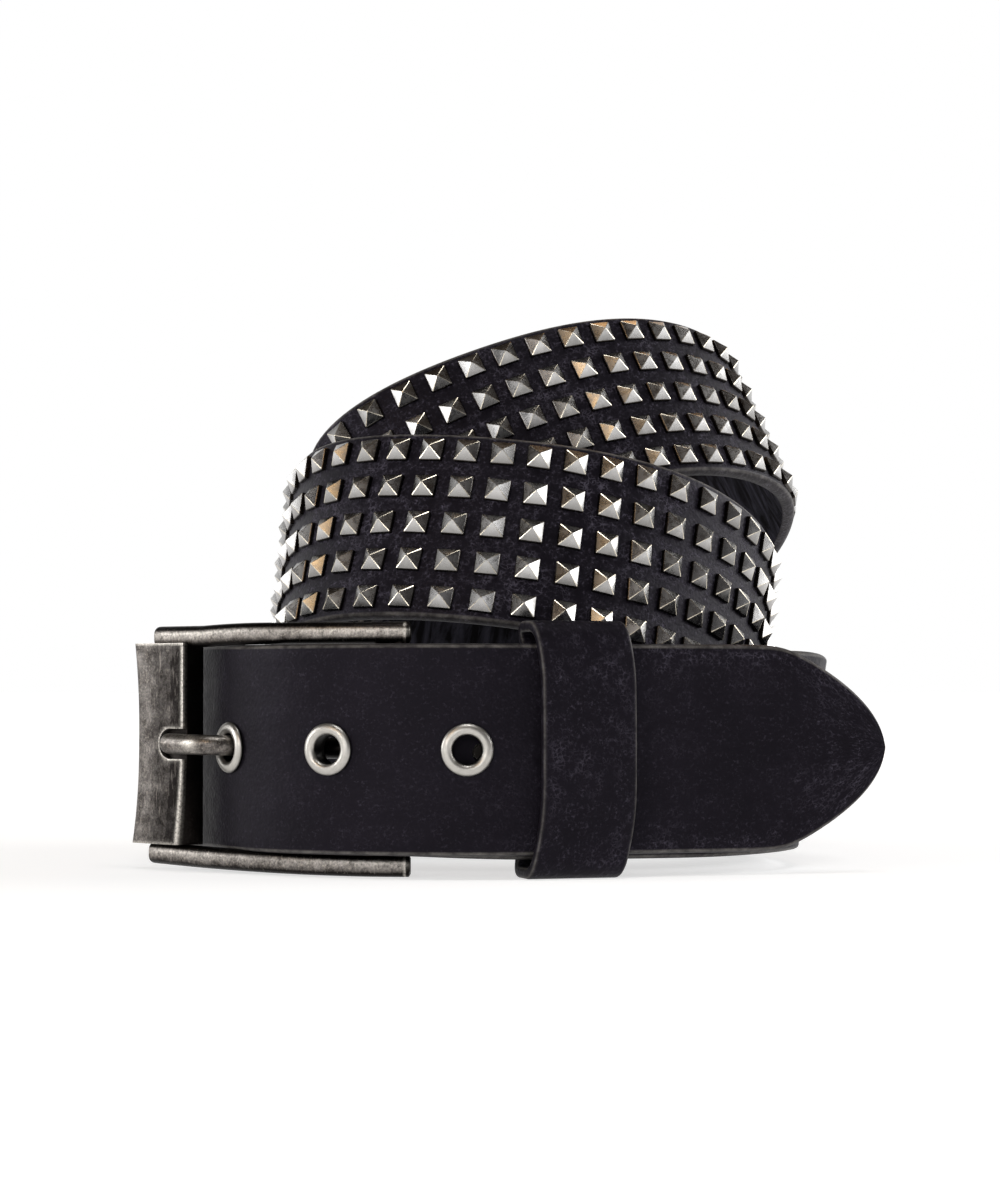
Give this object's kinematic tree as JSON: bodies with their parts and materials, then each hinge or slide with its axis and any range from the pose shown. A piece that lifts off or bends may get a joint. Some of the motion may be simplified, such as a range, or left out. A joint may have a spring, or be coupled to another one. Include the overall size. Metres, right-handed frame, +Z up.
{
  "type": "studded leather belt",
  "caption": "Black leather belt with rows of square pyramid studs, a wide metal buckle, eyelets and a keeper, fastened and wound into a coil that stands on its edges.",
  "frame": {"origin": "centre of the belt's footprint, on the surface that it stands on", "axes": "+Z up, -Y towards the buckled front, +X to the viewer's right, where the tongue points"},
  "size_m": [0.1476, 0.1657, 0.1172],
  "materials": {
    "leather": "semi-matte black grain leather",
    "buckle_metal": "antique gunmetal, rubbed brighter on its edges",
    "eyelet_metal": "satin nickel"
  },
  "bodies": {
    "root": {"strap": "leather", "keeper": "leather", "buckle_frame": "buckle_metal", "buckle_plate": "buckle_metal", "prong": "buckle_metal", "rivet": "eyelet_metal", "eyelet_1": "eyelet_metal", "eyelet_2": "eyelet_metal", "eyelet_3": "eyelet_metal", "eyelet_4": "eyelet_metal", "eyelet_5": "eyelet_metal"}
  },
  "joints": []
}
